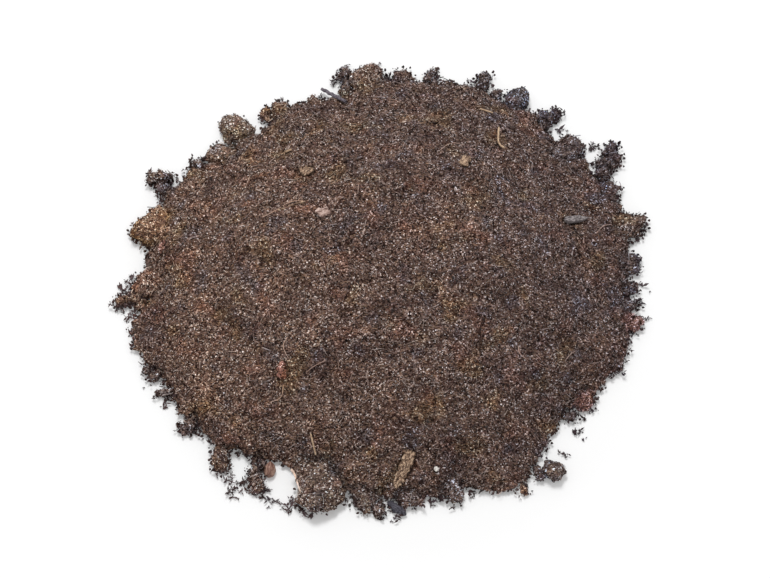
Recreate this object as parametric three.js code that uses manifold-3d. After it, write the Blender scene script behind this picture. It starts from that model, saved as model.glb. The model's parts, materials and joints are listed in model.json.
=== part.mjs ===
// Heap of terrarium substrate: a low poured mound of dark peat, with clods and crumbs round
// its rim, and bark chips, twigs, straws and bits of grit lying on it.
// Millimetres, +Z up. The mound stands on z = 0, and x and y = 0 are the middle of its outline.

import * as THREE from 'three';
import { ImprovedNoise } from 'three/addons/math/ImprovedNoise.js';
import { mergeVertices } from 'three/addons/utils/BufferGeometryUtils.js';
import Module from 'manifold-3d';

const wasm = await Module();
wasm.setup();
const noise = new ImprovedNoise();

// Driving dimensions of the mound
const moundLength = 246; // left to right, without the clods at its rim
const moundDepth = 228; // front to back, without the clods at its rim
const moundHeight = 46;
const shoulderHeight = 9; // steep edge all round, where the loose peat has rolled to a stop
const crownPower = 1.3; // how soon the slope falls away from the top
const shoulderPower = 6; // how square the edge is
const rimLift = 2.5; // height of the widest line of the edge, which curls in below it
const rimCurl = 3; // how far the foot of the edge lies inside its widest line

const moundGrain = 21; // rows of facets from the middle of the mound to its rim

// Relief of the mound: how high the swells, lumps and crumbs stand and how far apart they are
const relief = [
  { height: 6, spacing: 48 },
  { height: 4.8, spacing: 17 },
  { height: 3, spacing: 9 },
];
const rimCrumbReach = 3.4;
const rimCrumbSpacing = 8.5;

// Clods: how rough they are, how many lumps go round one and how much of a ball shows above
// the floor that cuts it flat
const clodRoughness = 0.42;
const clodLumps = 1.6;
const clodShowing = 0.8;
const clodFacet = 5.6; // length of a facet's side
const clodRows = [2, 4]; // fewest and most rows of facets in a quarter of a turn

// Strings of crumbs: a crumb's length in steps from one to the next, its share of the string's
// width and height, and how much each crumb differs from that
const crumbSteps = 1.9;
const crumbWidth = 0.7;
const crumbTallness = 0.85;
const crumbVariety = 0.4;

// Chips and stalks
const chipCorners = 9;
const chipRaggedness = 0.35;
const chipSquareness = 0.6;
const stalkSides = 6;
const stalkStep = 3.5;

// Fits
const weldDistance = 1e-4; // corners nearer than this are one corner
const beddingGap = 0.3; // clear space round each piece that lies in the mound
const chipBed = 0.9; // how deep a flat chip is pressed into the surface
const stalkBed = 0.35; // how deep a twig or straw is pressed in
const gritBed = 1.2; // how deep a bit of grit is pressed in

// Lobes and bays of the mound's outline: where, how far out and how wide, as an angle
const outlineLobes = [
  { at: 7.5, reach: 3, spread: 3 },
  { at: 18, reach: 6, spread: 9 },
  { at: 32.5, reach: 4, spread: 4 },
  { at: 50, reach: 6, spread: 7 },
  { at: 66, reach: 4, spread: 8 },
  { at: 100, reach: -8, spread: 4 },
  { at: 110, reach: -9, spread: 6.5 },
  { at: 126, reach: -15, spread: 8 },
  { at: 141, reach: -12, spread: 8 },
  { at: 155, reach: -2, spread: 6 },
  { at: 168, reach: -9, spread: 6 },
  { at: 182, reach: -10, spread: 6 },
  { at: 198, reach: 6, spread: 6 },
  { at: 216, reach: 2.5, spread: 4 },
  { at: 228, reach: 3, spread: 5 },
  { at: 246, reach: -4.5, spread: 5 },
  { at: 267, reach: 3, spread: 6 },
  { at: 281, reach: 5, spread: 6 },
  { at: 300, reach: 16, spread: 8.5 },
  { at: 319, reach: -3, spread: 6 },
  { at: 331, reach: 1.5, spread: 5 },
  { at: 341, reach: 7, spread: 9 },
];

// Colours, roughness and metalness of the materials
const shades = {
  peat: { color: 0x4b3a32, roughness: 0.95, metalness: 0 },
  dark: { color: 0x3a302d, roughness: 0.95, metalness: 0 },
  olive: { color: 0x5c4c30, roughness: 0.95, metalness: 0 },
  brown: { color: 0x5a4132, roughness: 0.95, metalness: 0 },
  tan: { color: 0x7a5a3c, roughness: 0.95, metalness: 0 },
  red: { color: 0x6e3f2f, roughness: 0.9, metalness: 0 },
  bark: { color: 0x8a6446, roughness: 0.9, metalness: 0 },
  greyBark: { color: 0x6b625c, roughness: 0.9, metalness: 0 },
  straw: { color: 0xb8a070, roughness: 0.8, metalness: 0 },
  twig: { color: 0x4a424a, roughness: 0.85, metalness: 0 },
  grit: { color: 0xd8d4cc, roughness: 0.7, metalness: 0 },
};

// Clods round the rim. at is the angle from the right-hand side, seen from above, tuck is how far
// the clod reaches in under the edge, size is its length, width and height, and turn is the angle
// of its length from the line that runs out from the middle. A clod of several crumbs is a string
// of lumps that have stuck together.
const clods = [
  { name: 'brown_clod_right', at: 3.5, tuck: 12, size: [18, 13, 8], shade: 'dark' },
  { name: 'round_clod_right', at: 12.5, tuck: 8, size: [18, 16, 10], shade: 'olive' },
  { name: 'peat_lump_right', at: 22, tuck: 10.5, size: [17, 13, 7.5], shade: 'dark' },
  { name: 'dark_cluster_right', at: 29, tuck: 2, size: [24, 12, 9], turn: 25, crumbs: 4, shade: 'dark' },
  { name: 'mound_lump_right', at: 36.5, tuck: 14, size: [22, 16, 9], shade: 'dark' },
  { name: 'crumb_cluster_back_right', at: 46.5, tuck: 7.5, size: [17, 11, 6.5], crumbs: 3, shade: 'dark' },
  { name: 'round_clod_back_right', at: 55, tuck: 7.5, size: [18, 14, 9], shade: 'dark' },
  { name: 'crumb_back_right', at: 60, tuck: 3, size: [9, 6, 6], shade: 'dark' },
  { name: 'knob_back_right', at: 64.2, tuck: 1, size: [11, 7, 8], shade: 'dark' },
  { name: 'dark_ledge_back', at: 72, tuck: 10, size: [13, 13, 5], shade: 'dark' },
  { name: 'spiky_cluster_back', at: 77, tuck: 6, size: [14, 9, 6.5], turn: 20, crumbs: 3, shade: 'dark' },
  { name: 'brown_clod_back', at: 84, tuck: 9, size: [16, 13, 6.5], shade: 'brown' },
  { name: 'olive_clod_back', at: 93.5, tuck: 11, size: [22, 18, 10], shade: 'olive' },
  { name: 'dark_cluster_back', at: 99.5, tuck: 7, size: [22, 9, 7], crumbs: 4, shade: 'dark' },
  { name: 'peat_lump_back_left', at: 109, tuck: 13, size: [17, 14, 8], shade: 'brown' },
  { name: 'brown_clod_back_left', at: 118.5, tuck: 15, size: [19, 13, 8], shade: 'brown' },
  { name: 'orange_crumb_back_left', at: 122.5, tuck: -1, size: [8, 7, 6], shade: 'tan' },
  { name: 'neck_lump_back_left', at: 140.5, tuck: 13, size: [21, 16, 10], shade: 'olive' },
  { name: 'olive_clod_back_left', at: 132, tuck: 7.5, size: [22, 17, 10.5], shade: 'olive' },
  { name: 'knob_left', at: 146.5, tuck: 3.5, size: [8, 6, 7], shade: 'dark' },
  { name: 'dark_cluster_left', at: 154.5, tuck: 5, size: [20, 13, 9], turn: -15, crumbs: 4, shade: 'dark' },
  { name: 'fibrous_clod_left', at: 167.5, tuck: 10.5, size: [24, 22, 13], shade: 'tan' },
  { name: 'brown_clod_left', at: 182.5, tuck: 8, size: [20, 18, 10], shade: 'brown' },
  { name: 'olive_cluster_left', at: 186, tuck: 6, size: [22, 12, 6], turn: -20, crumbs: 4, shade: 'olive' },
  { name: 'dark_crumb_left', at: 193, tuck: 5, size: [7, 6, 4], shade: 'dark' },
  { name: 'dark_cluster_low_left', at: 205, tuck: 7, size: [14, 11, 6.5], crumbs: 3, shade: 'dark' },
  { name: 'crumb_string_low_left', at: 211, tuck: 8, size: [16, 6, 4.5], turn: -9, crumbs: 3, shade: 'dark' },
  { name: 'grey_crumbs_front_left', at: 220.5, tuck: 7, size: [14, 9, 5.5], crumbs: 2, shade: 'dark' },
  { name: 'olive_purple_clod', at: 231.5, tuck: 1.5, size: [15, 8, 7], turn: 50, shade: 'olive' },
  { name: 'brown_seed', at: 242.5, tuck: 0, size: [9, 6.5, 5.5], turn: 20, shade: 'red' },
  { name: 'dark_cluster_front', at: 240, tuck: 7, size: [25, 9, 6.5], turn: 25, crumbs: 4, shade: 'dark' },
  { name: 'great_clod_front', at: 255.5, tuck: 15, size: [31, 25, 13], shade: 'brown' },
  { name: 'peat_lump_front', at: 266, tuck: 13, size: [20, 15, 8], shade: 'dark' },
  { name: 'dark_sliver_front', at: 269.5, tuck: 0.5, size: [13, 5, 5], turn: -15, shade: 'dark' },
  { name: 'flat_lump_front', at: 277, tuck: 9, size: [15, 17, 5.5], shade: 'dark' },
  { name: 'dark_stick_front', at: 273.5, tuck: -1.5, size: [12, 4, 4], turn: 50, shade: 'twig' },
  { name: 'crumbly_lump_front_right', at: 287, tuck: 11, size: [18, 14, 7.5], shade: 'dark' },
  { name: 'orange_crumb_front_right', at: 301.5, tuck: 2.5, size: [7, 5, 5], shade: 'tan' },
  { name: 'link_crumb_front_right', at: 306, tuck: 2.5, size: [9, 6, 5], shade: 'dark' },
  { name: 'round_clod_front_right', at: 308.5, tuck: -1.5, size: [12, 11, 10], shade: 'olive' },
  { name: 'shiny_crumb_front_right', at: 321, tuck: 4, size: [10, 6, 5], turn: 30, shade: 'dark' },
  { name: 'red_brown_lump_right', at: 326.5, tuck: 10, size: [15, 13, 5.5], shade: 'red' },
  { name: 'red_clod_right', at: 348.5, tuck: 7, size: [14, 10, 6.5], shade: 'red' },
  { name: 'dark_lump_right', at: 353, tuck: 8.5, size: [14, 9, 5.5], shade: 'dark' },
  { name: 'dark_clod_right', at: 357.5, tuck: 7, size: [14, 8, 5.5], shade: 'dark' },
];

// Flat chips and flakes of bark. out is the share of the way from the middle to the rim, turn is
// the angle of the chip's length, seen from above, and size is its length, width and thickness.
const chips = [
  { name: 'bark_chip_front', at: 276, out: 0.91, turn: 65, size: [20, 5, 2], shade: 'bark' },
  { name: 'bark_chip_left', at: 174, out: 0.92, turn: 85, size: [9, 3.2, 1.6], shade: 'red' },
  { name: 'pink_flake_left', at: 150, out: 0.28, turn: 20, size: [7, 5, 1.6], shade: 'bark' },
  { name: 'red_flake_left', at: 232, out: 0.65, turn: 80, size: [8, 4, 1.6], shade: 'red' },
  { name: 'tan_flake_back', at: 48.5, out: 0.51, turn: 65, size: [7, 5, 1.6], shade: 'bark' },
  { name: 'ochre_flake_left', at: 128.5, out: 0.57, turn: 40, size: [8, 6, 1.6], shade: 'bark' },
  { name: 'grey_chip_right', at: 14, out: 0.79, turn: 18, size: [13, 3.4, 1.8], shade: 'greyBark' },
];

// Twigs, straws and roots. points gives the angle and the share of the way out of each point
// that the stalk passes over.
const stalks = [
  { name: 'twig_back', thickness: 2, shade: 'twig', points: [[100.5, 0.94], [103.5, 0.99], [106, 1.04]] },
  { name: 'straw_back_right', thickness: 1.4, shade: 'straw', points: [[51, 0.77], [47, 0.71], [44, 0.71]] },
  { name: 'straw_back', thickness: 1.2, shade: 'straw', points: [[60, 0.85], [56, 0.85]] },
  { name: 'straw_left', thickness: 1.4, shade: 'straw', points: [[129, 0.745], [126.5, 0.74]] },
  { name: 'straw_front_left', thickness: 1.2, shade: 'straw', points: [[249.5, 0.84], [252.5, 0.91]] },
  { name: 'root_left', thickness: 1, shade: 'bark', points: [[159, 0.45], [154, 0.415], [149, 0.375]] },
];

const grits = [
  { name: 'white_grit_front', at: 284, out: 0.91, size: 2.6, shade: 'grit' },
];

const radians = THREE.MathUtils.degToRad;
const apart = 3.7; // step in the noise from one piece to the next, so that no two are alike

// Value between about minus a half and a half, the same each time for a piece and its corner
function chance(piece, corner) {
  return noise.noise(piece * apart + 0.3, corner * apart + 0.7, 0.5);
}

// Distance from the middle to the widest line of the mound's edge, at an angle in degrees
function rimRadius(angle) {
  const cos = Math.cos(radians(angle));
  const sin = Math.sin(radians(angle));
  const oval = 1 / Math.hypot(2 * cos / moundLength, 2 * sin / moundDepth);
  let radius = oval;
  for (const lobe of outlineLobes) {
    const away = THREE.MathUtils.euclideanModulo(angle - lobe.at + 180, 360) - 180;
    radius += lobe.reach * Math.exp(-((away / lobe.spread) ** 2));
  }
  const spacing = rimCrumbSpacing;
  return radius + rimCrumbReach * noise.noise(oval * cos / spacing, oval * sin / spacing, 0.5);
}

// Height of the mound's surface over a point
function surfaceHeight(x, y) {
  const share = Math.min(1, Math.hypot(x, y) / rimRadius(THREE.MathUtils.radToDeg(Math.atan2(y, x))));
  const crown = (1 - share ** 2) ** crownPower;
  const shoulder = Math.sqrt(1 - share ** shoulderPower);
  const dome = (moundHeight - rimLift - shoulderHeight) * crown + shoulderHeight * shoulder;
  let height = rimLift + dome;
  relief.forEach((lumps, i) => {
    height += shoulder * lumps.height * noise.noise(x / lumps.spacing, y / lumps.spacing, i + 1.5);
  });
  return height;
}

function onSurface(point) {
  return point.setZ(surfaceHeight(point.x, point.y));
}

// Point on the surface, given by an angle and the share of the way out to the rim
function surfacePoint(angle, out) {
  const radius = out * rimRadius(angle);
  const x = radius * Math.cos(radians(angle));
  const y = radius * Math.sin(radians(angle));
  return new THREE.Vector3(x, y, out < 1 ? surfaceHeight(x, y) : rimLift);
}

// Closed indexed geometry with its shared vertices merged
function closed(geometry) {
  const bare = geometry.clone();
  bare.deleteAttribute('normal');
  bare.deleteAttribute('uv');
  return mergeVertices(bare, weldDistance);
}

function solidOf(geometry) {
  const vertProperties = new Float32Array(geometry.attributes.position.array);
  const triVerts = new Uint32Array(geometry.index.array);
  return new wasm.Manifold(new wasm.Mesh({ numProp: 3, vertProperties, triVerts }));
}

// Copy of a closed geometry with its faces moved out by a distance. A corner moves further than
// its faces do, up to twice as far.
function grown(geometry, distance) {
  const fat = geometry.clone();
  const { array: corners } = fat.index;
  const from = geometry.attributes.position;
  const sums = Array.from({ length: from.count }, () => new THREE.Vector3());
  const faces = [];
  for (let i = 0; i < corners.length; i += 3) {
    const [a, b, c] = corners.slice(i, i + 3);
    const face = new THREE.Triangle().setFromAttributeAndIndices(from, a, b, c);
    const normal = face.getNormal(new THREE.Vector3());
    faces.push(normal);
    for (const corner of [a, b, c]) sums[corner].add(normal);
  }
  const sharpest = new Array(from.count).fill(1);
  sums.forEach((sum) => sum.normalize());
  corners.forEach((corner, i) => {
    sharpest[corner] = Math.min(sharpest[corner], sums[corner].dot(faces[Math.floor(i / 3)]));
  });
  const point = new THREE.Vector3();
  sums.forEach((sum, i) => {
    point.fromBufferAttribute(from, i).addScaledVector(sum, distance / Math.max(0.5, sharpest[i]));
    fat.attributes.position.setXYZ(i, point.x, point.y, point.z);
  });
  return fat;
}

// Lumpy ball of a length, width and height, its middle at the origin
function lumpyBall(length, width, height, seed) {
  const rows = THREE.MathUtils.clamp(Math.round((length + width) / 2 / clodFacet), ...clodRows);
  const ball = closed(new THREE.OctahedronGeometry(1, rows - 1));
  const position = ball.attributes.position;
  const point = new THREE.Vector3();
  for (let i = 0; i < position.count; i += 1) {
    point.fromBufferAttribute(position, i);
    const { x, y, z } = point.multiplyScalar(clodLumps);
    const swell = 1 + clodRoughness * noise.noise(x + seed * apart, y, z);
    point.multiplyScalar(swell / clodLumps / 2);
    position.setXYZ(i, point.x * length, point.y * width, point.z * height);
  }
  return ball;
}

// Balls of a clod that lies on the floor with its length along x. A clod of several crumbs is
// a string of smaller lumps, each beside the last and a little to its left or right.
function clodBalls({ size, crumbs = 1 }, seed) {
  const [length, width, height] = size;
  if (crumbs === 1) {
    const ball = lumpyBall(length, width, height / clodShowing, seed);
    return [ball.translate(0, 0, height - height / clodShowing / 2)];
  }
  const step = length / (crumbs - 1 + crumbSteps);
  return Array.from({ length: crumbs }, (_, i) => {
    const change = crumbVariety * chance(seed, i);
    const across = width * (crumbWidth + change);
    const tall = height * (crumbTallness + change);
    const ball = lumpyBall(step * (crumbSteps + change), across, tall / clodShowing, seed + i);
    const sideways = (width - across) / 2 * (i % 2 ? 1 : -1);
    return ball.translate((i - (crumbs - 1) / 2) * step, sideways, tall - tall / clodShowing / 2);
  });
}

// Clod set against the rim, its inner side tucked in under the edge of the mound
function placedClod(clod, seed) {
  const turn = radians(clod.turn ?? 0);
  const [length, width] = clod.size;
  const reach = Math.hypot(length * Math.cos(turn), width * Math.sin(turn)) / 2;
  const distance = rimRadius(clod.at) + reach - clod.tuck;
  const place = new THREE.Matrix4().makeRotationZ(radians(clod.at));
  place.multiply(new THREE.Matrix4().makeTranslation(distance, 0, 0));
  place.multiply(new THREE.Matrix4().makeRotationZ(turn));
  return clodBalls(clod, seed).map((ball) => ball.applyMatrix4(place));
}

// A sine or cosine drawn towards one or minus one, which squares the oval that it draws
function squared(value) {
  return Math.sign(value) * Math.abs(value) ** chipSquareness;
}

// Flat chip with ragged ends and sides, pressed into the surface along its slope
function placedChip(chip, seed) {
  const [length, width, thickness] = chip.size;
  const outline = new THREE.Shape();
  for (let i = 0; i < chipCorners; i += 1) {
    const around = i / chipCorners * 2 * Math.PI;
    const ragged = 1 + chipRaggedness * chance(seed, i);
    const x = length / 2 * ragged * squared(Math.cos(around));
    const y = width / 2 * ragged * squared(Math.sin(around));
    if (i) outline.lineTo(x, y);
    else outline.moveTo(x, y);
  }
  const slab = new THREE.ExtrudeGeometry(outline, { depth: thickness, bevelEnabled: false });
  const centre = surfacePoint(chip.at, chip.out);
  const along = new THREE.Vector3(Math.cos(radians(chip.turn)), Math.sin(radians(chip.turn)), 0);
  const across = new THREE.Vector3(-along.y, along.x, 0);
  const under = (direction, step) => onSurface(centre.clone().addScaledVector(direction, step));
  const [head, tail] = [under(along, length / 3), under(along, -length / 3)];
  const [left, right] = [under(across, width / 2), under(across, -width / 2)];
  const xAxis = head.clone().sub(tail).normalize();
  const zAxis = xAxis.clone().cross(left.clone().sub(right)).normalize();
  const yAxis = zAxis.clone().cross(xAxis);
  const seat = head.add(tail).add(left).add(right).multiplyScalar(1 / 4).addScaledVector(zAxis, -chipBed);
  return [closed(slab).applyMatrix4(new THREE.Matrix4().makeBasis(xAxis, yAxis, zAxis).setPosition(seat))];
}

// Thin stalk that follows the surface over its points
function placedStalk(stalk) {
  const radius = stalk.thickness / 2;
  const path = new THREE.CatmullRomCurve3(stalk.points.map(([angle, out]) => {
    const point = surfacePoint(angle, out);
    point.z += radius - stalkBed;
    return point;
  }));
  const section = new THREE.Shape();
  for (let i = 0; i < stalkSides; i += 1) {
    const around = i / stalkSides * 2 * Math.PI;
    if (i) section.lineTo(radius * Math.cos(around), radius * Math.sin(around));
    else section.moveTo(radius, 0);
  }
  const steps = Math.ceil(path.getLength() / stalkStep);
  return [closed(new THREE.ExtrudeGeometry(section, { steps, extrudePath: path, bevelEnabled: false }))];
}

function placedGrit(grit, seed) {
  const ball = lumpyBall(grit.size, grit.size, grit.size, seed);
  const centre = surfacePoint(grit.at, grit.out);
  return [ball.translate(centre.x, centre.y, centre.z + grit.size / 2 - gritBed)];
}

function moundGeometry() {
  const mound = closed(new THREE.OctahedronGeometry(1, moundGrain - 1));
  const position = mound.attributes.position;
  const point = new THREE.Vector3();
  for (let i = 0; i < position.count; i += 1) {
    point.fromBufferAttribute(position, i);
    const angle = THREE.MathUtils.radToDeg(Math.atan2(point.y, point.x));
    const share = Math.sqrt(1 - Math.abs(point.z));
    if (point.z >= 0) {
      point.copy(surfacePoint(angle, share));
    } else {
      const radius = share * rimRadius(angle) - rimCurl * Math.min(1, (1 - share) * moundGrain);
      point.set(radius * Math.cos(radians(angle)), radius * Math.sin(radians(angle)), 0);
      point.z = rimLift - 2 * rimLift * Math.min(1, (1 - share) * moundGrain);
    }
    position.setXYZ(i, point.x, point.y, point.z);
  }
  return mound;
}

function joined(geometries) {
  return geometries.map(solidOf).reduce((whole, next) => whole.add(next));
}

// Largest of the bodies that cutting has left
function mainBody(solid) {
  return solid.decompose().reduce((best, next) => (next.volume() > best.volume() ? next : best));
}

function meshOf(name, shade, solid) {
  const { vertProperties, triVerts } = solid.getMesh();
  const geometry = new THREE.BufferGeometry();
  geometry.setAttribute('position', new THREE.BufferAttribute(vertProperties, 3));
  geometry.setIndex(new THREE.BufferAttribute(triVerts, 1));
  geometry.computeVertexNormals();
  const mesh = new THREE.Mesh(geometry, new THREE.MeshStandardMaterial(shades[shade]));
  mesh.name = name;
  return mesh;
}

// Block under z = 0, which cuts everything that lies on the floor flat
const floorSize = 2 * (moundLength + moundDepth);
const floorBox = new THREE.BoxGeometry(floorSize, floorSize, moundHeight).translate(0, 0, -moundHeight / 2);
const floor = solidOf(closed(floorBox));

const pieces = [
  ...clods.map((clod, i) => ({ ...clod, shapes: placedClod(clod, i + 1) })),
  ...chips.map((chip, i) => ({ ...chip, shapes: placedChip(chip, i + 1) })),
  ...stalks.map((stalk) => ({ ...stalk, shapes: placedStalk(stalk) })),
  ...grits.map((grit, i) => ({ ...grit, shapes: placedGrit(grit, i + 1) })),
];

const heap = new THREE.Group();
let mound = solidOf(moundGeometry()).subtract(floor);
const pockets = [];
for (const piece of pieces) {
  const pocket = joined(piece.shapes.map((shape) => grown(shape, beddingGap)));
  const solid = pockets.reduce((left, taken) => left.subtract(taken), joined(piece.shapes).subtract(floor));
  heap.add(meshOf(piece.name, piece.shade, mainBody(solid)));
  mound = mound.subtract(pocket);
  pockets.push(pocket);
}
heap.add(meshOf('peat_mound', 'peat', mainBody(mound)));

// The origin is under the middle of the whole heap's outline
const middle = new THREE.Box3().setFromObject(heap).getCenter(new THREE.Vector3());
heap.position.set(-middle.x, -middle.y, 0);

export default heap;
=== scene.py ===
import json
import math
import random

import bmesh
import bpy
from mathutils import Matrix, Vector, noise
from mathutils.bvhtree import BVHTree

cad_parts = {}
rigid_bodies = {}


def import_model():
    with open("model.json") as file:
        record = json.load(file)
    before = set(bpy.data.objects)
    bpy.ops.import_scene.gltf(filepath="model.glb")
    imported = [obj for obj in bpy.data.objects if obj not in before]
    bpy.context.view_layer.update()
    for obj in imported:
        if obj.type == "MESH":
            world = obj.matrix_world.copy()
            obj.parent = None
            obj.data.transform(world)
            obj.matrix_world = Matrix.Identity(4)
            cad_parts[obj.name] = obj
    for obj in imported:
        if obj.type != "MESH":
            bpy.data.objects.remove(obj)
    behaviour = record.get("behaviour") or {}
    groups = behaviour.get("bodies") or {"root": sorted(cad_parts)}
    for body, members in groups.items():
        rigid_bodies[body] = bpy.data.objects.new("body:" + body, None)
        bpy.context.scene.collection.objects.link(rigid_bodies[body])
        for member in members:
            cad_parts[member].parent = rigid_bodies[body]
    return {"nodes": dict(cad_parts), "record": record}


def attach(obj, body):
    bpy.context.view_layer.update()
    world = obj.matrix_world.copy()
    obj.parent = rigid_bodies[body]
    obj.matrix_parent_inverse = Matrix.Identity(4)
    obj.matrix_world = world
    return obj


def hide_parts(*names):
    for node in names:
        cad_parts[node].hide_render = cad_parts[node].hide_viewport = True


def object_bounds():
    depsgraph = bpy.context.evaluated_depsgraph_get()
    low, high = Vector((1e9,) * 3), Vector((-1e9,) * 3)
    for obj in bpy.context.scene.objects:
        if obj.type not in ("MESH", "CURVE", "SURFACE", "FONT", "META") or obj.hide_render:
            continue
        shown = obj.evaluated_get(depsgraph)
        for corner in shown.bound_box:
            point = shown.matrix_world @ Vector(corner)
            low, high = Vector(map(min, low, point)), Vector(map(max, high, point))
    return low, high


# Heap of terrarium substrate. Everything is in metres. Each dictionary holds what can be
# changed on the piece that is made below it.

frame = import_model()
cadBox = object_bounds()
scene = bpy.context.scene
scene.view_settings.view_transform = "Standard"
mm = 0.001
mapName = "OFBake"  # UV map with a place of its own for every bit
print("loaded the frame:", len(frame["nodes"]), "nodes")


# Linear colour of an sRGB code
def colour(code):
    parts = [int(code[i:i + 2], 16) / 255 for i in (0, 2, 4)]
    return [part / 12.92 if part < 0.04 else ((part + 0.055) / 1.055) ** 2.4 for part in parts] + [1]


# Camera

view = {
    "target": (0.0009, -0.0033, 0),
    "elevation": 65,
    "distance": 1.1,
    "lens": 102.86,
    "sensor": 36,
    "farthest": 20,
}

camera = bpy.data.objects.new("camera", bpy.data.cameras.new("camera"))
scene.collection.objects.link(camera)
rise = math.radians(view["elevation"])
toCamera = Vector((0, -math.cos(rise), math.sin(rise)))
camera.location = Vector(view["target"]) + view["distance"] * toCamera
camera.rotation_euler = (math.pi / 2 - rise, 0, 0)
camera.data.lens = view["lens"]
camera.data.sensor_width = view["sensor"]
camera.data.clip_end = view["farthest"]
scene.camera = camera

# Light

light = {
    "sky": 0.6,
    "power": 19.4,
    "size": 0.6,
    "place": (-0.18, 0.7, 1.7),
}

scene.world = bpy.data.worlds.new("sky")
scene.world.use_nodes = True
sky = scene.world.node_tree.nodes["Background"]
sky.inputs["Color"].default_value = (1, 1, 1, 1)
sky.inputs["Strength"].default_value = light["sky"]

key = bpy.data.objects.new("key", bpy.data.lights.new("key", "AREA"))
key.data.shape = "DISK"
key.data.size = light["size"]
key.data.energy = light["power"]
key.location = light["place"]
key.rotation_euler = (-key.location).to_track_quat("-Z", "Y").to_euler()
scene.collection.objects.link(key)
print("placed the camera and the light")


# Helpers for node trees

def addNode(tree, kind, values=None, **settings):
    made = tree.nodes.new(kind)
    for name, value in settings.items():
        setattr(made, name, value)
    for socket, value in (values or {}).items():
        if isinstance(value, bpy.types.NodeSocket):
            tree.links.new(value, made.inputs[socket])
        else:
            made.inputs[socket].default_value = value
    return made


# Sockets 0, 6 and 7 are the factor and the two colours
def mixed(tree, factor, first, second, blend="MIX"):
    values = {0: factor, 6: first, 7: second}
    return addNode(tree, "ShaderNodeMix", values, data_type="RGBA", blend_type=blend).outputs[2]


def multiplied(tree, first, second):
    return mixed(tree, 1.0, first, second, "MULTIPLY")


def maths(tree, operation, *values):
    return addNode(tree, "ShaderNodeMath", dict(enumerate(values)), operation=operation).outputs[0]


def vectorMaths(tree, operation, *values):
    return addNode(tree, "ShaderNodeVectorMath", dict(enumerate(values)), operation=operation).outputs[0]


def scaled(tree, vector, factor):
    values = {0: vector, "Scale": factor}
    return addNode(tree, "ShaderNodeVectorMath", values, operation="SCALE").outputs[0]


def ranged(tree, value, low, high, toLow=0.0, toHigh=1.0, smooth=False):
    values = {"Value": value, "From Min": low, "From Max": high, "To Min": toLow, "To Max": toHigh}
    kind = "SMOOTHSTEP" if smooth else "LINEAR"
    return addNode(tree, "ShaderNodeMapRange", values, interpolation_type=kind).outputs[0]


def noiseAt(tree, place, size, detail=2.0):
    values = {"Vector": place, "Scale": 1 / size, "Detail": detail}
    return addNode(tree, "ShaderNodeTexNoise", values).outputs[0]


def ramp(tree, value, stops):
    made = addNode(tree, "ShaderNodeValToRGB", {0: value})
    elements = made.color_ramp.elements
    while len(elements) < len(stops):
        elements.new(0.5)
    for element, (place, code) in zip(elements, stops):
        element.position = place
        element.color = colour(code)
    return made.outputs[0]


def moved(tree, place, offset=(0, 0, 0), turn=(0, 0, 0), scale=(1, 1, 1)):
    values = {"Vector": place, "Location": offset, "Rotation": turn, "Scale": scale}
    return addNode(tree, "ShaderNodeMapping", values).outputs[0]


# Soil

# The grains are the colours of single grains, from the darkest to the palest. The patches are
# broad areas where the peat is rusty, olive, blue-grey, dark or tan, with the values of the
# noise where each starts and is full. In swell and dust, the first two numbers are values of
# the noise and the last two are the brightness there. One side of the heap has painted light
# and the other has painted shade: it is painted lighter and warmer on the one side, and darker
# and cooler on the other.
soil = {
    "grains": [(0.0, "170c09"), (0.34, "392720"), (0.66, "59433c"), (0.87, "867068"),
               (0.955, "d0c2b9"), (1.0, "ffffff")],
    "patches": [
        {"tint": (1.12, 0.97, 0.92), "size": 13 * mm, "from": 0.55, "full": 0.72, "offset": 0.0},
        {"tint": (1.07, 1.03, 0.82), "size": 17 * mm, "from": 0.55, "full": 0.70, "offset": 0.3},
        {"tint": (0.80, 0.88, 1.04), "size": 12 * mm, "from": 0.57, "full": 0.70, "offset": 0.6},
        {"tint": (0.72, 0.71, 0.76), "size": 24 * mm, "from": 0.54, "full": 0.70, "offset": 0.9},
        {"tint": (1.25, 1.18, 1.10), "size": 17 * mm, "from": 0.55, "full": 0.70, "offset": 1.2},
    ],
    "patchDetail": 1.5,
    "paintedLightSide": (1.14, 1.02, 0.955),
    "paintedShadeSide": (0.81, 0.765, 0.82),
    "sideTurn": (-2.8, -0.5),
    "sideReach": 0.26,
    "swellSize": 7 * mm,
    "swellDetail": 3.0,
    "swell": (0.3, 0.7, 0.82, 1.18),
    "grainSize": 0.6 * mm,
    "dustSize": 0.35 * mm,
    "dust": (0.3, 0.7, 0.6, 1.4),
    "fibreTurns": (0.6, -0.7, 1.9),
    "fibreColour": "a98f78",
    "fibreWidth": 2.2 * mm,
    "fibreSquash": 7,
    "fibreShift": 0.1,
    "fibreShare": (0.62, 0.68),
    "fibreStrength": 0.7,
    "wetShuffle": 7.3,
    "wetShare": (0.7, 1.0),
    "wetRoughness": (0.9, 0.35),
    "wetShine": (0.15, 0.9),
    "bump": 0.7,
    "bumpDepth": 0.5 * mm,
}


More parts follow.
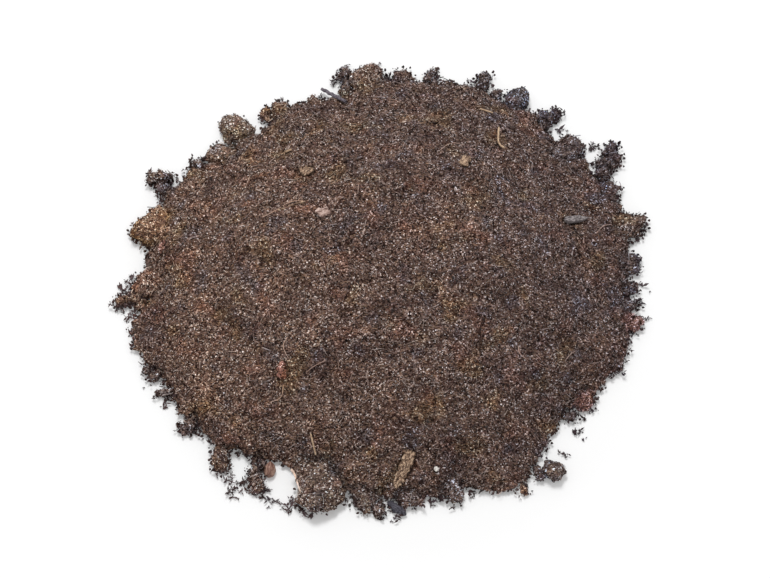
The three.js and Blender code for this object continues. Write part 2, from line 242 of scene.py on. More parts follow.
def soilTone(tree, place):
    tint = addNode(tree, "ShaderNodeAttribute", attribute_name="soil").outputs["Color"]
    split = addNode(tree, "ShaderNodeSeparateXYZ", {0: place})
    # painted light and shade across the heap: lighter and warmer towards the left, darker and cooler
    # towards the right
    alongX, alongY = soil["sideTurn"]
    side = maths(tree, "MULTIPLY", split.outputs[1], alongY)
    side = maths(tree, "MULTIPLY_ADD", split.outputs[0], alongX, side)
    side = ranged(tree, side, -soil["sideReach"], soil["sideReach"])
    side = mixed(tree, side, (*soil["paintedShadeSide"], 1), (*soil["paintedLightSide"], 1))
    tint = multiplied(tree, tint, side)
    for patch in soil["patches"]:
        spot = moved(tree, place, offset=(patch["offset"], 0, 0))
        field = noiseAt(tree, spot, patch["size"], soil["patchDetail"])
        amount = ranged(tree, field, patch["from"], patch["full"], smooth=True)
        tint = mixed(tree, amount, tint, multiplied(tree, tint, (*patch["tint"], 1)))
    swell = noiseAt(tree, place, soil["swellSize"], soil["swellDetail"])
    return multiplied(tree, tint, ranged(tree, swell, *soil["swell"]))


# Fine pale fibres, drawn as streaks that run three ways
def withFibres(tree, grain, place):
    for i, turn in enumerate(soil["fibreTurns"]):
        shift = (soil["fibreShift"] * i, 0, 0)
        along = moved(tree, place, shift, (0, 0, turn), (1, soil["fibreSquash"], 1))
        field = noiseAt(tree, along, soil["fibreWidth"], detail=1.0)
        streak = ranged(tree, field, *soil["fibreShare"])
        amount = maths(tree, "MULTIPLY", streak, soil["fibreStrength"])
        grain = mixed(tree, amount, grain, colour(soil["fibreColour"]))
    return grain


# Soil that has grains of its own, or whose grains are the crumbs that it is put on
def soilMaterial(name, ownGrains):
    material = bpy.data.materials.new(name)
    material.use_nodes = True
    tree = material.node_tree
    shader = tree.nodes["Principled BSDF"]
    place = addNode(tree, "ShaderNodeTexCoord").outputs["Object"]
    dust = noiseAt(tree, place, soil["dustSize"])
    if ownGrains:
        values = {"Vector": place, "Scale": 1 / soil["grainSize"]}
        cells = addNode(tree, "ShaderNodeTexVoronoi", values)
        chance = addNode(tree, "ShaderNodeSeparateXYZ", {0: cells.outputs["Color"]}).outputs[0]
        height = maths(tree, "SUBTRACT", 1.0, cells.outputs["Distance"])
        grain = withFibres(tree, ramp(tree, chance, soil["grains"]), place)
    else:
        chance = addNode(tree, "ShaderNodeAttribute", attribute_name="tint").outputs["Fac"]
        height = dust
        grain = ramp(tree, chance, soil["grains"])
    grain = multiplied(tree, grain, ranged(tree, dust, *soil["dust"]))
    tone = multiplied(tree, grain, soilTone(tree, place))
    tree.links.new(tone, shader.inputs["Base Color"])

    # some grains are wet
    wet = maths(tree, "FRACT", maths(tree, "MULTIPLY", chance, soil["wetShuffle"]))
    roughness = ranged(tree, wet, *soil["wetShare"], *soil["wetRoughness"])
    tree.links.new(roughness, shader.inputs["Roughness"])
    shine = ranged(tree, wet, *soil["wetShare"], *soil["wetShine"])
    tree.links.new(shine, shader.inputs["Specular IOR Level"])

    height = maths(tree, "ADD", height, dust)
    values = {"Strength": soil["bump"], "Distance": soil["bumpDepth"], "Height": height}
    tree.links.new(addNode(tree, "ShaderNodeBump", values).outputs[0], shader.inputs["Normal"])
    return material


peatMaterial = soilMaterial("peat", ownGrains=True)
crumbMaterial = soilMaterial("crumbs", ownGrains=False)
print("made the soil materials")


# Helpers for pieces

# Corners closer than weld become one. The skin counts as steep where steepness times the
# upward part of its normal is under 1. The relief fades out over the last footFade above the
# floor, and a lump stands out as far as lumpReach from its middle.
surface = {
    "weld": 1e-5,
    "steepness": 1.3,
    "footFade": 1 * mm,
    "lumpReach": 0.45,
}


def objectFrom(name, shape):
    mesh = bpy.data.meshes.new(name)
    shape.to_mesh(mesh)
    shape.free()
    return bpy.data.objects.new(name, mesh)


def pieceFrom(name, shape):
    piece = objectFrom(name, shape)
    scene.collection.objects.link(piece)
    return piece


def mergedCopy(name, nodes):
    shape = bmesh.new()
    for node in nodes:
        shape.from_mesh(frame["nodes"][node].data)
    bmesh.ops.remove_doubles(shape, verts=shape.verts, dist=surface["weld"])
    return pieceFrom(name, shape)


def applyModifiers(piece):
    graph = bpy.context.evaluated_depsgraph_get()
    result = piece.evaluated_get(graph)
    mesh = bpy.data.meshes.new_from_object(result, preserve_all_data_layers=True, depsgraph=graph)
    piece.modifiers.clear()
    piece.data = mesh
    piece.data.name = piece.name


def remesh(piece, voxel):
    modifier = piece.modifiers.new("voxels", "REMESH")
    modifier.mode = "VOXEL"
    modifier.voxel_size = voxel
    applyModifiers(piece)


def thin(piece, triangles):
    modifier = piece.modifiers.new("thinned", "DECIMATE")
    modifier.ratio = min(1, triangles / countTriangles(piece))
    applyModifiers(piece)


def countTriangles(piece):
    return sum(len(polygon.vertices) - 2 for polygon in piece.data.polygons)


# Round lumps, a kind of relief like noise.noise
def lumps(point):
    return surface["lumpReach"] - noise.voronoi(point)[0][0]


# A relief is a list of kinds, each with its height and its spacing
def pushed(point, relief):
    return sum(height * kind(point / spacing) for kind, height, spacing in relief)


# Sink the skin and push it in and out along its normals, and further out where it is steep
def roughen(piece, spec, calms=None, creases=None):
    mesh = piece.data
    normals = [Vector(vertex.normal) for vertex in mesh.vertices]
    for i, (vertex, normal) in enumerate(zip(mesh.vertices, normals)):
        steep = max(0, 1 - surface["steepness"] * abs(normal.z))
        flank = spec.get("flank", 0) + pushed(vertex.co, spec.get("flankRelief", ()))
        push = pushed(vertex.co, spec["relief"]) - spec.get("sink", 0) + steep * flank
        if calms:
            push *= 1 - heap["calmRelief"] * calms[i]
        if creases:
            push -= creases[i]
        vertex.co += push * normal * min(1, max(0, vertex.co.z) / surface["footFade"])
    mesh.update()


def finish(piece, material, nodes):
    piece.data.materials.clear()
    piece.data.materials.append(material)
    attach(piece, "root")
    if nodes:
        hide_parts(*nodes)
    print("made", piece.name, "with", countTriangles(piece), "triangles")


def paintSoil(piece, tint):
    attribute = piece.data.attributes.new("soil", "FLOAT_COLOR", "POINT")
    attribute.data.foreach_set("color", [*tint, 1] * len(piece.data.vertices))


# Mound, with the clods that have sunk into its edge

# A clod whose name has one of the words in sunk is part of the mound's skin. The calm clods
# are smoother and cooler than the rest, with deeper creases round them. Where a clod meets the
# mound, creaseShade paints shade into the crease, and calmShade adds more painted shade round
# the calm clods. The under values say which faces are the flat underside, and the map values
# how the UV map is laid out.
heap = {
    "voxel": 0.9 * mm,
    "triangles": 190000,
    "sink": 0.7 * mm,
    "relief": [(noise.noise, 1.4 * mm, 9 * mm), (lumps, 1.5 * mm, 5 * mm), (lumps, 1.0 * mm, 2.0 * mm)],
    "flank": 0.9 * mm,
    "flankRelief": [(noise.noise, 2.0 * mm, 6 * mm), (noise.noise, 2.4 * mm, 2.4 * mm)],
    "sunk": ["clod", "lump", "ledge"],
    "blend": 1.5 * mm,
    "crease": 1.0 * mm,
    "creaseWidth": 2.0 * mm,
    "creaseShade": 0.25,
    "calm": ["great_clod_front", "round_clod_front_right", "olive_clod_back_left",
             "round_clod_back_right"],
    "calmReach": 3.5 * mm,
    "calmSpread": 1.6,
    "calmRelief": 0.5,
    "calmShade": 0.4,
    "calmTint": (0.82, 0.92, 1.0),
    "underSlope": -0.9,
    "underHeight": 0.4 * mm,
    "mapMargin": 1.04,
    "mapSlope": 0.02,
    "mapCorner": 0.055,
    "mapCornerScale": 0.1,
}
tints = {
    "peat": (1, 1, 1),
    "dark_peat": (1.12, 1.30, 1.48),
    "olive_peat": (1.45, 1.52, 1.48),
    "brown_peat": (1.24, 1.25, 1.22),
    "tan_peat": (1.75, 1.70, 1.48),
    "red_peat": (1.75, 1.50, 1.55),
}

slotOf = {part["node"]: part["material_slot"] for part in frame["record"]["subparts"]}
ofSoil = [node for node, slot in slotOf.items() if slot in tints]
sunk = [node for node in ofSoil if any(word in node for word in heap["sunk"])]
loose = [node for node in ofSoil if node not in ["peat_mound", "brown_seed", *sunk]]


def treeOf(nodes):
    shape = bmesh.new()
    for node in nodes:
        shape.from_mesh(frame["nodes"][node].data)
    tree = BVHTree.FromBMesh(shape)
    shape.free()
    return tree


def nearness(tree, point, reach):
    distance = tree.find_nearest(point, reach)[3]
    return 0 if distance is None else 1 - distance / reach


# Store how near each corner is to a calm clod, and give that back
def paintCalm(piece):
    tree = treeOf(heap["calm"])
    calms = [nearness(tree, vertex.co, heap["calmReach"]) for vertex in piece.data.vertices]
    calms = [min(1, heap["calmSpread"] * calm) for calm in calms]
    attribute = piece.data.attributes.new("calm", "FLOAT", "POINT")
    attribute.data.foreach_set("value", calms)
    return calms


# Tint the skin by the clod it covers, paint shade into it where a clod meets the mound, and
# give back how deep the crease is at each of its corners
def paintClods(piece, calms):
    nodesOf = {slot: [node for node in sunk if slotOf[node] == slot] for slot in tints}
    trees = [(treeOf(nodes), Vector(tints[slot])) for slot, nodes in nodesOf.items() if nodes]
    moundTree = treeOf(["peat_mound"])
    clodTree = treeOf(sunk)
    creases = []
    attribute = piece.data.attributes.new("soil", "FLOAT_COLOR", "POINT")
    for vertex, item, calm in zip(piece.data.vertices, attribute.data, calms):
        tint = Vector(tints["peat"])
        for tree, own in trees:
            tint = tint.lerp(own, nearness(tree, vertex.co, heap["blend"]))
        crease = nearness(moundTree, vertex.co, heap["creaseWidth"])
        crease *= nearness(clodTree, vertex.co, heap["creaseWidth"])
        # painted shade in the crease where a clod meets the mound, deeper round the calm clods
        tint *= 1 - (heap["creaseShade"] + heap["calmShade"] * calm) * crease
        tint = tint.lerp(tint * Vector(heap["calmTint"]), calm)
        creases.append(heap["crease"] * crease * (1 + calm))
        item.color = (*tint, 1)
    return creases


def isUnderside(face):
    low = face.calc_center_median().z < heap["underHeight"]
    return low and face.normal.z < heap["underSlope"]


def dissolveUnderside(piece):
    shape = bmesh.new()
    shape.from_mesh(piece.data)
    flat = [face for face in shape.faces if isUnderside(face)]
    bmesh.ops.dissolve_faces(shape, faces=flat)
    shape.to_mesh(piece.data)
    shape.free()


# UV map seen from above, with a small copy of it in the corner for the faces that look down
def mapFromAbove(piece):
    shape = bmesh.new()
    shape.from_mesh(piece.data)
    layer = shape.loops.layers.uv.new(mapName)
    low, high = cadBox
    size = heap["mapMargin"] * max(high[0] - low[0], high[1] - low[1])
    corner = heap["mapCorner"]
    scale = heap["mapCornerScale"]
    for face in shape.faces:
        under = face.normal.z < heap["mapSlope"]
        for loop in face.loops:
            u = loop.vert.co.x / size
            v = loop.vert.co.y / size
            loop[layer].uv = (corner + scale * u, corner + scale * v) if under else (0.5 + u, 0.5 + v)
    shape.to_mesh(piece.data)
    shape.free()


peatSurface = mergedCopy("peatSurface", ["peat_mound", *sunk])
remesh(peatSurface, heap["voxel"])
calms = paintCalm(peatSurface)
creases = paintClods(peatSurface, calms)
roughen(peatSurface, heap, calms, creases)
thin(peatSurface, heap["triangles"])
dissolveUnderside(peatSurface)
mapFromAbove(peatSurface)
peatSurface.data.shade_smooth()
finish(peatSurface, peatMaterial, ["peat_mound", *sunk])

# Loose clusters and crumbs at its foot

clusters = {
    "voxel": 0.6 * mm,
    "sink": 0.3 * mm,
    "relief": [(noise.noise, 2.2 * mm, 4 * mm), (lumps, 2.4 * mm, 3.2 * mm),
               (lumps, 1.0 * mm, 1.6 * mm)],
    "names": {
        "dark_peat": "darkClusters",
        "olive_peat": "oliveClusters",
        "brown_peat": "brownClusters",
        "tan_peat": "tanCrumbs",
        "red_peat": "redCrumbs",
    },
}

clusterPieces = []
for slot, name in clusters["names"].items():
    nodes = [node for node in loose if slotOf[node] == slot]
    if nodes:
        piece = mergedCopy(name, nodes)
        remesh(piece, clusters["voxel"])
        roughen(piece, clusters, paintCalm(piece))
        paintSoil(piece, tints[slot])
        piece.data.shade_smooth()
        finish(piece, peatMaterial, nodes)
        clusterPieces.append(piece)


# Bits that are strewn over the mound and the clods

# A bit is random in its size, lift, roll and tint, between the two values of each. The size
# leans towards the smaller as rareness grows. Drift is the size of the noise and its values
# where the bits start and are thickest. Only ground under the height below gets bits, no bit
# rises over the height pile, and spare is the share of them that the calm clods lack. Cells
# is how many places the UV map has for them. The most that a bit reaches up from its middle
# is the share reach of its size, and that is less for one that leans less. The share halfSize
# is what it needs below its middle, of which it may sink into the floor by sunken.
usual = {
    "lean": math.pi,
    "spare": 0.65,
    "below": 1.0,
    "pile": cadBox[1][2] + 1.2 * mm,
    "cellsEach": 1.2,
    "rollRareness": 1.6,
    "reach": 0.65,
    "leastReach": 0.1,
    "sunken": 0.5 * mm,
    "halfSize": 0.55,
}


def randomly(tree, low, high, seed):
    values = {2: low, 3: high, "Seed": seed}
    return addNode(tree, "FunctionNodeRandomValue", values, data_type="FLOAT").outputs[1]


def stored(tree, geometry, domain, kind, name, value):
    values = {"Geometry": geometry, "Name": name}
    made = addNode(tree, "GeometryNodeStoreNamedAttribute", values, domain=domain, data_type=kind)
    tree.links.new(value, made.inputs["Value"])
    return made.outputs[0]


def named(tree, name):
    made = addNode(tree, "GeometryNodeInputNamedAttribute", {"Name": name}, data_type="FLOAT_VECTOR")
    return made.outputs[0]


# Points on the ground: evenly, or in drifts where the noise is high
def scattered(tree, spec, ground, mesh, position):
    seed = spec["seed"]
    density = spec["count"] / ground["area"]
    if "drift" in spec:
        size, low, high = spec["drift"]
        field = noiseAt(tree, vectorMaths(tree, "ADD", position, (seed, 0, 0)), size)
        density = maths(tree, "MULTIPLY", ranged(tree, field, low, high), density)
    spared = maths(tree, "MULTIPLY", named(tree, "calm"), spec["spare"])
    density = maths(tree, "MULTIPLY", maths(tree, "SUBTRACT", 1.0, spared), density)
    height = addNode(tree, "ShaderNodeSeparateXYZ", {0: position}).outputs[2]
    low = maths(tree, "LESS_THAN", height, spec["below"])
    values = {"Mesh": mesh, "Density": density, "Seed": seed, "Selection": low}
    return addNode(tree, "GeometryNodeDistributePointsOnFaces", values).outputs


# Lift each along the surface's normal, or roll it out over the floor
def settled(tree, spec, points, position, size):
    seed = spec["seed"]
    if "roll" in spec:
        out = randomly(tree, 0.0, 1.0, seed + 2)
        out = maths(tree, "POWER", out, spec["rollRareness"])
        out = ranged(tree, out, 0.0, 1.0, *spec["roll"])
        flat = vectorMaths(tree, "MULTIPLY", points["Normal"], (1, 1, 0))
        step = scaled(tree, vectorMaths(tree, "NORMALIZE", flat), out)
    else:
        step = scaled(tree, points["Normal"], randomly(tree, *spec["lift"], seed + 1))
    place = vectorMaths(tree, "ADD", position, step)
    split = addNode(tree, "ShaderNodeSeparateXYZ", {0: place}).outputs

    # keep it between the floor and the top of the heap
    tallness = math.sin(min(spec["lean"], math.pi / 2)) + spec["leastReach"]
    top = maths(tree, "MULTIPLY_ADD", size, -spec["reach"] * min(1, tallness), spec["pile"])
    z = maths(tree, "MINIMUM", split[2], top)
    bottom = maths(tree, "MULTIPLY_ADD", size, spec["halfSize"], -spec["sunken"])
    z = maths(tree, "MAXIMUM", z, bottom)
    place = addNode(tree, "ShaderNodeCombineXYZ", {0: split[0], 1: split[1], 2: z}).outputs[0]
    values = {"Geometry": points["Points"], "Position": place}
    return addNode(tree, "GeometryNodeSetPosition", values).outputs[0]


# Turn each, and give it one of the shapes in the folder
def shaped(tree, spec, spots, rotation, size, folder):
    seed = spec["seed"]
    lean = spec["lean"]
    values = {"Collection": folder, "Separate Children": True, "Reset Children": True}
    shapes = addNode(tree, "GeometryNodeCollectionInfo", values).outputs[0]
    values = {"Min": (-lean, -lean, 0), "Max": (lean, lean, 2 * math.pi), "Seed": seed + 3}
    turn = addNode(tree, "FunctionNodeRandomValue", values, data_type="FLOAT_VECTOR").outputs[0]
    values = {"Rotation": rotation, "Rotate By": turn}
    turn = addNode(tree, "FunctionNodeRotateRotation", values, rotation_space="LOCAL").outputs[0]
    values = {5: len(folder.objects) - 1, "Seed": seed + 5}
    chosen = addNode(tree, "FunctionNodeRandomValue", values, data_type="INT").outputs[2]
    values = {"Points": spots, "Instance": shapes, "Pick Instance": True,
              "Instance Index": chosen, "Rotation": turn, "Scale": size}
    return addNode(tree, "GeometryNodeInstanceOnPoints", values).outputs[0]


# Make the bits real, with a cell of the UV map for each
def inCells(tree, bits, cells):
    side = math.ceil(math.sqrt(cells))
    number = addNode(tree, "GeometryNodeInputIndex").outputs[0]
    column = maths(tree, "FLOORED_MODULO", number, side)
    row = maths(tree, "FLOOR", maths(tree, "DIVIDE", number, side))
    row = maths(tree, "FLOORED_MODULO", row, side)
    cell = addNode(tree, "ShaderNodeCombineXYZ", {0: column, 1: row}).outputs[0]
    bits = stored(tree, bits, "INSTANCE", "FLOAT_VECTOR", "cell", cell)
    bits = addNode(tree, "GeometryNodeRealizeInstances", {0: bits}).outputs[0]
    corner = vectorMaths(tree, "ADD", named(tree, mapName), named(tree, "cell"))
    return stored(tree, bits, "CORNER", "FLOAT2", mapName, scaled(tree, corner, 1 / side))


def strewn(name, spec, shapes, ground):
    tree = bpy.data.node_groups.new(name, "GeometryNodeTree")
    tree.interface.new_socket(name="Ground", in_out="INPUT", socket_type="NodeSocketGeometry")
    tree.interface.new_socket(name="Bits", in_out="OUTPUT", socket_type="NodeSocketGeometry")
    start = tree.nodes.new("NodeGroupInput")
    end = tree.nodes.new("NodeGroupOutput")
    folder = bpy.data.collections.new(name)
    for shape in shapes:
        folder.objects.link(shape)

    seed = spec["seed"]
    position = addNode(tree, "GeometryNodeInputPosition").outputs[0]
    points = scattered(tree, spec, ground, start.outputs[0], position)
    share = maths(tree, "POWER", randomly(tree, 0.0, 1.0, seed + 4), spec["rareness"])
    size = ranged(tree, share, 0.0, 1.0, *spec["size"])
    spots = settled(tree, spec, points, position, size)
    bits = shaped(tree, spec, spots, points["Rotation"], size, folder)
    tint = randomly(tree, *spec["tint"], seed + 6)
    bits = stored(tree, bits, "INSTANCE", "FLOAT", "tint", tint)
    if "soil" in spec:
        own = addNode(tree, "FunctionNodeInputColor")
        own.value = (*spec["soil"], 1)
        bits = stored(tree, bits, "INSTANCE", "FLOAT_COLOR", "soil", own.outputs[0])
    bits = inCells(tree, bits, spec.get("cells", spec["cellsEach"] * spec["count"]))
    tree.links.new(bits, end.inputs[0])

    piece = bpy.data.objects.new(name, ground["piece"].data.copy())
    scene.collection.objects.link(piece)
    modifier = piece.modifiers.new("strewn", "NODES")
    modifier.node_group = tree
    applyModifiers(piece)
    bpy.data.node_groups.remove(tree)
    bpy.data.collections.remove(folder)
    piece.data.shade_smooth()
    finish(piece, crumbMaterial, [])


# Shapes of the bits, each about 1 across. The odd factors of i and arm only make each shape
# differ from the next.

# UV map of a small rounded shape: its upper half on the left and its lower on the right, in
# one place of a square of rows
halves = {
    "upper": 0.26,
    "lower": 0.74,
    "halfWidth": 0.21,
    "halfHeight": 0.44,
}


def mapHalves(shape, place=(0, 0), rows=1):
    layer = shape.loops.layers.uv.new(mapName)
    shape.normal_update()
    reach = max(max(abs(vertex.co.x), abs(vertex.co.y)) for vertex in shape.verts)
    for face in shape.faces:
        centre = halves["upper"] if face.normal.z > 0 else halves["lower"]
        for loop in face.loops:
            across = loop.vert.co / reach
            u = centre + halves["halfWidth"] * across.x
            v = 0.5 + halves["halfHeight"] * across.y
            loop[layer].uv = ((place[0] + u) / rows, (place[1] + v) / rows)


# Two four-sided pyramids, base to base
def addDoublePyramid(shape):
    bmesh.ops.create_uvsphere(shape, u_segments=4, v_segments=2, radius=0.5)


def crumbShapes(name, count, subdivisions, roughness, stretch, change=0.25):
    shapes = []
    for i in range(count):
        shape = bmesh.new()
        if subdivisions:
            bmesh.ops.create_icosphere(shape, subdivisions=subdivisions, radius=0.5)
        else:
            addDoublePyramid(shape)
        for vertex in shape.verts:
            vertex.co *= 1 + roughness * noise.noise(3 * vertex.co + Vector((7.3 * i, 0, 0)))
        long, wide, tall = stretch
        flatter = 1 + change * math.sin(2.4 * i)
        bmesh.ops.scale(shape, vec=(long, wide * flatter, tall / flatter), verts=shape.verts)
        mapHalves(shape)
        shapes.append(objectFrom(f"{name}{i}", shape))
    return shapes


sprigs = {
    "arms": 6,
    "roughness": 0.8,
    "length": 0.5,
    "lengthChange": 0.45,
    "width": 0.34,
    "height": 0.3,
    "reach": 0.4,
    "lean": 1.6,
    "turnChange": 0.7,
    "shift": 0.4,
}


# One of the thin crumbs that make a spiky crumb
def sprigArm(arm, i, rows):
    arms = sprigs["arms"]
    shape = bmesh.new()
    addDoublePyramid(shape)
    chance = [noise.noise(Vector((1.7 * arm + 0.3, 3.1 * i + 0.4, 0.5 + k))) for k in range(5)]
    for vertex in shape.verts:
        bulge = noise.noise(3 * vertex.co + Vector((5.3 * arm, 7.3 * i, 0)))
        vertex.co *= 1 + sprigs["roughness"] * bulge
    long = sprigs["length"] + sprigs["lengthChange"] * chance[0]
    size = (long, sprigs["width"] * long, sprigs["height"] * long)
    bmesh.ops.scale(shape, vec=size, verts=shape.verts)
    mapHalves(shape, (arm % rows, arm // rows), rows)
    bmesh.ops.translate(shape, vec=(sprigs["reach"] * long, 0, 0), verts=shape.verts)
    lean = Matrix.Rotation(sprigs["lean"] * chance[1], 3, "Y")
    share = arm / arms + sprigs["turnChange"] * chance[2]
    turn = Matrix.Rotation(2 * math.pi * share, 3, "Z")
    bmesh.ops.rotate(shape, matrix=turn @ lean, verts=shape.verts)
    shift = (sprigs["shift"] * chance[3], sprigs["shift"] * chance[4], 0)
    bmesh.ops.translate(shape, vec=shift, verts=shape.verts)
    mesh = bpy.data.meshes.new("arm")
    shape.to_mesh(mesh)
    shape.free()
    return mesh


# Spiky crumbs: thin crumbs that reach out from the middle every way
def sprigShapes(name, count):
    shapes = []
    rows = math.ceil(math.sqrt(sprigs["arms"]))
    for i in range(count):
        whole = bmesh.new()
        whole.loops.layers.uv.new(mapName)
        for arm in range(sprigs["arms"]):
            mesh = sprigArm(arm, i, rows)
            whole.from_mesh(mesh)
            bpy.data.meshes.remove(mesh)
        reach = max(vertex.co.length for vertex in whole.verts)
        bmesh.ops.scale(whole, vec=(0.5 / reach,) * 3, verts=whole.verts)
        shapes.append(objectFrom(f"{name}{i}", whole))
    return shapes


# UV map of a stalk: its side as a strip, with the start and the end of it beside that
stalkMap = {
    "capSlope": 0.9,
    "start": 0.02,
    "end": 0.94,
    "capWidth": 0.04,
    "capHeight": 0.3,
    "length": 0.84,
    "low": 0.04,
    "round": 0.9,
}


def mapStalk(shape, thickness):
    layer = shape.loops.layers.uv.new(mapName)
    for face in shape.faces:
        cap = abs(face.normal.z) > stalkMap["capSlope"]
        middle = math.atan2(face.calc_center_median().y, face.calc_center_median().x)
        for loop in face.loops:
            x, y, z = loop.vert.co
            if cap:
                end = stalkMap["start"] if z < 0 else stalkMap["end"]
                u = end + stalkMap["capWidth"] * (x / thickness + 0.5)
                v = 0.5 + stalkMap["capHeight"] * y / thickness
            else:
                around = (math.atan2(y, x) - middle + math.pi) % (2 * math.pi) - math.pi
                sideways = (middle + math.pi) / (2 * math.pi) + around / (2 * math.pi)
                u = 0.5 + stalkMap["length"] * z
                v = stalkMap["low"] + stalkMap["round"] * sideways
            loop[layer].uv = (u, v)


fibres = {
    "longLine": 0.9,
    "bendLevel": 0.2,
}


# Thin tapering stalks, 1 long, with a bend
def fibreShapes(name, count, sides, cuts, thickness, bend):
    shapes = []
    for i in range(count):
        shape = bmesh.new()
        bmesh.ops.create_cone(shape, segments=sides, radius1=thickness / 2, radius2=thickness / 4,
                              depth=1, cap_ends=True)
        long = [line for line in shape.edges if line.calc_length() > fibres["longLine"]]
        bmesh.ops.subdivide_edges(shape, edges=long, cuts=cuts)
        mapStalk(shape, thickness)
        for vertex in shape.verts:
            along = vertex.co.z
            sway = noise.noise(Vector((2 * along, 5.1 * i, 0)))
            swing = Vector((bend * (along * along - fibres["bendLevel"]), bend * sway, 0))
            vertex.co += swing * math.cos(1.7 * i)
        bmesh.ops.rotate(shape, matrix=Matrix.Rotation(math.pi / 2, 3, "Y"), verts=shape.verts)
        shapes.append(objectFrom(f"{name}{i}", shape))
    return shapes


forms = {
    "speck": crumbShapes("speck", 7, subdivisions=0, roughness=0.9, stretch=(1.1, 0.9, 0.8)),
    "fleck": crumbShapes("fleck", 7, subdivisions=0, roughness=0.7, stretch=(1.0, 0.28, 0.24)),
    "crumb": crumbShapes("crumb", 9, subdivisions=1, roughness=0.9, stretch=(1.15, 0.95, 0.8)),
    "sprig": sprigShapes("sprig", 9),
    "bristle": fibreShapes("bristle", 7, sides=3, cuts=1, thickness=0.11, bend=0.25),
    "fibre": fibreShapes("fibre", 8, sides=3, cuts=4, thickness=0.07, bend=0.3),
}

crumbs = {
    "dustCrumbs": {
        "form": "fleck", "count": 19500, "size": (0.8 * mm, 2.4 * mm), "rareness": 1.6, "lean": 0.7,
        "lift": (0, 0.45 * mm), "tint": (0.0, 0.97), "seed": 11, "slot": "peat"},
    "fineCrumbs": {
        "form": "speck", "count": 19500, "size": (0.4 * mm, 1.0 * mm), "rareness": 1.5,
        "lift": (-0.1 * mm, 0.4 * mm), "tint": (0.0, 0.95), "seed": 17, "slot": "brown_peat"},
    "smallCrumbs": {
        "form": "crumb", "count": 4600, "size": (0.8 * mm, 1.8 * mm), "rareness": 2.2,
        "lift": (-0.5 * mm, 0.2 * mm), "tint": (0.1, 0.8), "seed": 23, "slot": "brown_peat"},
    "darkCrumbs": {
        "form": "crumb", "count": 4000, "size": (0.6 * mm, 1.5 * mm), "rareness": 2.0,
        "lift": (-0.6 * mm, 0.2 * mm), "tint": (0.0, 0.3), "seed": 37, "slot": "dark_peat"},
    "paleCrumbs": {
        "form": "fleck", "count": 9000, "size": (0.6 * mm, 2.0 * mm), "rareness": 2.2, "lean": 0.6,
        "lift": (0.1 * mm, 0.6 * mm), "tint": (0.82, 0.98), "seed": 41, "slot": "tan_peat"},
    "gritSpecks": {
        "form": "speck", "count": 11000, "size": (0.4 * mm, 0.9 * mm), "rareness": 2.6,
        "lift": (0.1 * mm, 0.5 * mm), "tint": (0.98, 1.0), "seed": 97, "slot": "grit",
        "drift": (11 * mm, 0.42, 0.62)},
    "rimCrumbs": {
        "form": "crumb", "count": 60000, "cells": 6000, "size": (0.6 * mm, 1.8 * mm),
        "rareness": 1.8, "roll": (0, 3 * mm), "below": 6 * mm, "pile": 3 * mm,
        "drift": (5 * mm, 0.34, 0.6), "spare": 0.9, "tint": (0.1, 0.7), "soil": (1.15, 1.4, 1.75),
        "seed": 53, "slot": "dark_peat"},
    "rimSprigs": {
        "form": "sprig", "count": 12000, "cells": 1500, "size": (2.6 * mm, 6.5 * mm),
        "rareness": 1.6, "roll": (0, 3 * mm), "below": 4 * mm, "pile": 4 * mm,
        "drift": (8 * mm, 0.4, 0.6), "spare": 1.0, "tint": (0.2, 0.65), "soil": (1.25, 1.6, 2.15),
        "seed": 59, "slot": "dark_peat"},
    "paleFibres": {
        "form": "bristle", "count": 6500, "size": (1.4 * mm, 5 * mm), "rareness": 2.4,
        "lean": 0.35, "lift": (0, 0.5 * mm), "tint": (0.8, 0.96), "seed": 71, "slot": "straw"},
    "longFibres": {
        "form": "fibre", "count": 1200, "size": (3 * mm, 8 * mm), "rareness": 2.4, "lean": 0.25,
        "lift": (0, 0.5 * mm), "tint": (0.8, 0.96), "seed": 79, "slot": "straw"},
    "darkFibres": {
        "form": "fibre", "count": 2400, "size": (2 * mm, 7 * mm), "rareness": 2.0, "lean": 0.4,
        "lift": (0, 0.6 * mm), "tint": (0.0, 0.5), "seed": 83, "slot": "twig"},
}

# Faces that look further down than the slope, or are nearer the floor than the height, get
# no bits
bare = {
    "slope": -0.3,
    "height": 0.3 * mm,
}


def isBare(face):
    return face.normal.z < bare["slope"] or face.calc_center_median().z < bare["height"]


groundShape = bmesh.new()
for piece in [peatSurface, *clusterPieces]:
    groundShape.from_mesh(piece.data)
hidden = [face for face in groundShape.faces if isBare(face)]
bmesh.ops.delete(groundShape, geom=hidden, context="FACES")
area = sum(face.calc_area() for face in groundShape.faces)
ground = {"piece": pieceFrom("ground", groundShape), "area": area}
print("ground:", round(area * 1e6), "square mm")

for name, spec in crumbs.items():
    strewn(name, {**usual, **spec}, forms[spec["form"]], ground)

bpy.data.objects.remove(ground["piece"])

# Chips, stalks and grit that stand out

